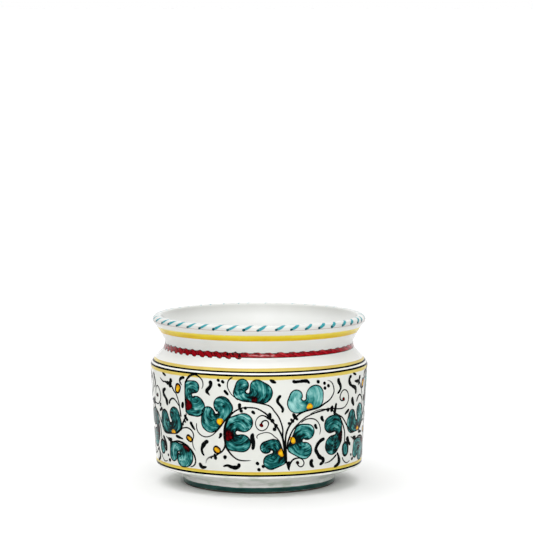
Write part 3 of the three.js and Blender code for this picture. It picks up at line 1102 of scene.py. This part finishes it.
def painted_rope():
    """The rope border in the hollow of the neck: a red ground with slanting strokes over it, which
    start and end at a dark seam left of the front."""
    rope = Drawing()
    rope.ring(ROPE_LOW, ROPE_HIGH, ragged=0.16, steps=4)
    x, stroke = ROPE_SEAM + 3, 0
    while x < ROPE_SEAM + FULL_TURN - 6:
        way_round = (x - ROPE_SEAM) / FULL_TURN  # from the seam, rightwards, to the seam again
        loose = min(1.0, max(0.0, (way_round - 0.35) * 2.2))  # the hand loosens as it goes
        peak = ROPE_HIGH - 0.4 - 0.5 * loose + HAND.uniform(-0.15, 0.15)
        foot = ROPE_LOW + 0.9 - 1.8 * loose
        # The slanting stroke itself, and the dark wedge of paint at its head
        body = [
            (x, peak), (x + 4, peak - 0.4 - 0.4 * loose), (x + 8.5, (peak + foot) / 2 - 0.3),
            (x + 13.5 - 2 * loose, foot),
        ]
        widths = [1.2, 2.0 + 1.5 * loose, 2.2 + 1.7 * loose, 0.9 + 0.8 * loose]
        lift = WASH + 0.03 + 0.03 * (stroke % 4)
        rope.brush(body, widths, lift=lift, depth=-0.2 + 0.24 * loose)
        wedge = [(x - 2, peak + 0.5), (x + 1, peak + 0.1), (x + 6, peak - 1.2 - 0.6 * loose)]
        rope.brush(wedge, [0.6, 1.3, 0.4], lift=OVER_WASH + 0.08, depth=0.35 - 0.05 * loose)
        x, stroke = x + ROPE_PITCH - 2.4 * loose + HAND.uniform(-0.8, 0.8), stroke + 1
    for x, y, width in SEAM_DABS:
        dab = [(x - 1.4, y + 0.8), (x + 1.4, y - 1.2)]
        rope.brush(dab, [width], lift=OVER_WASH + 0.1, depth=0.75, press=0.5)
    return rope


LIP_STROKES = 44
LIP_FROM = LIP_EDGE_HEIGHT + 2.4
# The way of such a stroke, right of and up from where it is set down
LIP_DRAG = ((0, 0), (3.2, 1.3), (6.6, 3.6), (9.4, 7), (11.5, 10.6))


def painted_lip():
    """Strokes that lean over the lip, set down at its edge and dragged up and to the right."""
    lip = Drawing()
    pitch = FULL_TURN / LIP_STROKES
    for k in range(LIP_STROKES):
        x = k * pitch + HAND.uniform(-2.5, 2.5)
        y = LIP_FROM + HAND.uniform(-0.3, 0.4)
        reach = HAND.uniform(0.9, 1.12)
        drag = [(x + aside * reach, y + up) for aside, up in LIP_DRAG]
        lip.brush(drag, [1.9, 2.3, 2.4, 2.0, 0.9], lift=WASH + 0.03, end=0.25, press=0.25, fine=5)
        pooled = [(x - 1, y - 0.4), (x + 2.6, y + 0.7)]
        lip.brush(pooled, [2.3, 1.5], lift=WASH + 0.06, depth=0.4, end=0.7, press=0.4, fine=4)
    return lip


rope_border = painted_rope()
lip_strokes = painted_lip()
lip_edge_line = Drawing()
lip_edge_line.ring(
    LIP_EDGE_HEIGHT + 0.9, LIP_EDGE_HEIGHT + 1.7, lift=WASH, ragged=0.1, steps=2, ink=0.55
)
foot_band = Drawing()
foot_band.ring(CLAY_EDGE, 6.6, lift=WASH, ragged=0.35, steps=4, soft_light=0.25)

finished("glazed_pot", turned_vessel(), tin_glaze(), replaced=["pot_body"])
for name, drawing, slot, paint in (
    ("yellow_bands", yellow_bands, "painted_yellow", banded_paint(
        "banded yellow under gloss", srgb(207, 166, 0), srgb(228, 207, 56), rise=0.4, gloss=0.14
    )),
    ("black_rings", black_rings, "painted_black", banded_paint(
        "banded black under gloss", srgb(0, 0, 0), srgb(40, 40, 38), rough=0.12, gloss=0.02
    )),
    ("rope_border", rope_border, "painted_red", rope_paint()),
    ("lip_strokes", lip_strokes, "painted_teal", lip_paint()),
    ("lip_edge_line", lip_edge_line, "painted_red", banded_paint(
        "thin brown line under gloss", srgb(150, 112, 104), srgb(206, 178, 172), rough=0.12
    )),
    ("foot_band", foot_band, "painted_teal", banded_paint(
        "copper green banded on the foot", srgb(0, 60, 54), srgb(62, 126, 116), rough=0.12,
        gloss=0.35,
    )),
    ("leaf_washes", leaf_washes, "painted_teal", leaf_paint()),
    ("frieze_drawing", frieze_drawing, "painted_black", ink_paint()),
    ("yellow_spots", yellow_spots, "painted_yellow", spot_paint(
        "ochre dabbed under gloss", srgb(186, 106, 0), srgb(244, 196, 18), gloss=0.08
    )),
    ("red_spots", red_spots, "painted_red", spot_paint(
        "iron red dabbed under gloss", srgb(8, 0, 1), srgb(116, 0, 8), gloss=0.02
    )),
):
    finished(name, drawing.wrapped(), paint)


# The studio: a wide pale floor under an even sky that is dimmer behind the camera


def pale_floor(radius=400):
    bm = bmesh.new()
    bmesh.ops.create_circle(bm, cap_ends=True, segments=64, radius=radius)
    f = Finish("pale studio paper")
    colour = f.mix(f.cloud(0.6), srgb(243, 243, 243), srgb(245, 245, 245))
    floor = as_object("studio_floor", bm, f.surface(colour, f.cloud(0.5) * 0.1 + 0.8, gloss=0.0))


def studio_sky(front=0.1, side=0.0, back=1.0, overhead=2.7):
    """An even light from straight above, a dim one low in front and a bright one low behind."""
    f = Finish("studio", bpy.data.worlds)
    x, y, z = f.split(f.add("ShaderNodeTexCoord", out=0))
    low = y.step(-0.2, -0.95) * (front - side) + y.step(0.2, 0.9) * (back - side) + side
    high = overhead - x * 0.7 - y * 1.0 - x.absolute() * 1.8
    light = low + z.step(0.5, 0.95) * (high - low)
    shader = f.add("ShaderNodeBackground", sockets={"Color": (1, 1, 1, 1), "Strength": light})
    bpy.context.scene.world = f.end_in("ShaderNodeOutputWorld", shader)


def soft_box(name, at, toward, width, height, power):
    lamp = bpy.data.lights.new(name, "AREA")
    lamp.shape, lamp.size, lamp.size_y, lamp.energy = "RECTANGLE", width, height, power
    box = bpy.data.objects.new(name, lamp)
    box.location = at
    box.rotation_euler = (Vector(toward) - Vector(at)).to_track_quat("-Z", "Y").to_euler()
    bpy.context.scene.collection.objects.link(box)


def front_camera(at, looks_down, lens):
    """A camera that faces the front and looks down by so many degrees."""
    camera = bpy.data.objects.new("camera", bpy.data.cameras.new("camera"))
    camera.data.sensor_width, camera.data.lens, camera.data.clip_end = 36, lens, 1000
    camera.location = at
    camera.rotation_euler = (math.radians(90 - looks_down), 0, 0)
    bpy.context.scene.collection.objects.link(camera)
    bpy.context.scene.camera = camera


pale_floor()
studio_sky()
soft_box(
    "front_softbox", at=(0.16, -2.45, 0.95), toward=(0, 0, 0.1), width=1.25, height=0.4, power=17
)
front_camera(at=(0.0083, -3.0, 0.5281), looks_down=5.49, lens=183.8)
bpy.context.scene.view_settings.view_transform = "Standard"
